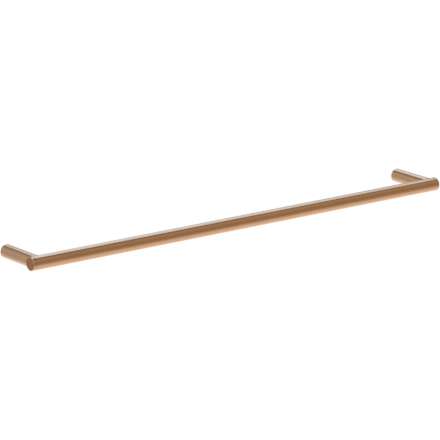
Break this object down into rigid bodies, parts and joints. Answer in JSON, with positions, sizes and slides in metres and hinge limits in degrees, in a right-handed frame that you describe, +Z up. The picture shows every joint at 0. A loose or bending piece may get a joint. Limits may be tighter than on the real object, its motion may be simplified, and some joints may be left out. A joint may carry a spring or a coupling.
{
  "type": "towel bar",
  "caption": "Wall-mounted towel bar: a straight round rail held clear of the wall by slim round posts of the same diameter, in satin copper.",
  "frame": {"origin": "on the wall plane, midway between the axes of the posts and at their height", "axes": "+X along the rail to the right as seen from the room, +Y into the wall, +Z up"},
  "size_m": [0.6, 0.071, 0.016],
  "materials": {
    "satin_copper": "fine satin brush under a copper-coloured PVD coat",
    "plain_stainless": "plain turned stainless steel"
  },
  "bodies": {
    "root": {"rail_tube": "satin_copper", "left_end_plug": "satin_copper", "right_end_plug": "satin_copper", "left_post": "satin_copper", "right_post": "satin_copper", "left_wall_spigot": "plain_stainless", "right_wall_spigot": "plain_stainless", "tie_screws": "plain_stainless", "spring_washers": "plain_stainless", "grub_screws": "plain_stainless"}
  },
  "joints": []
}
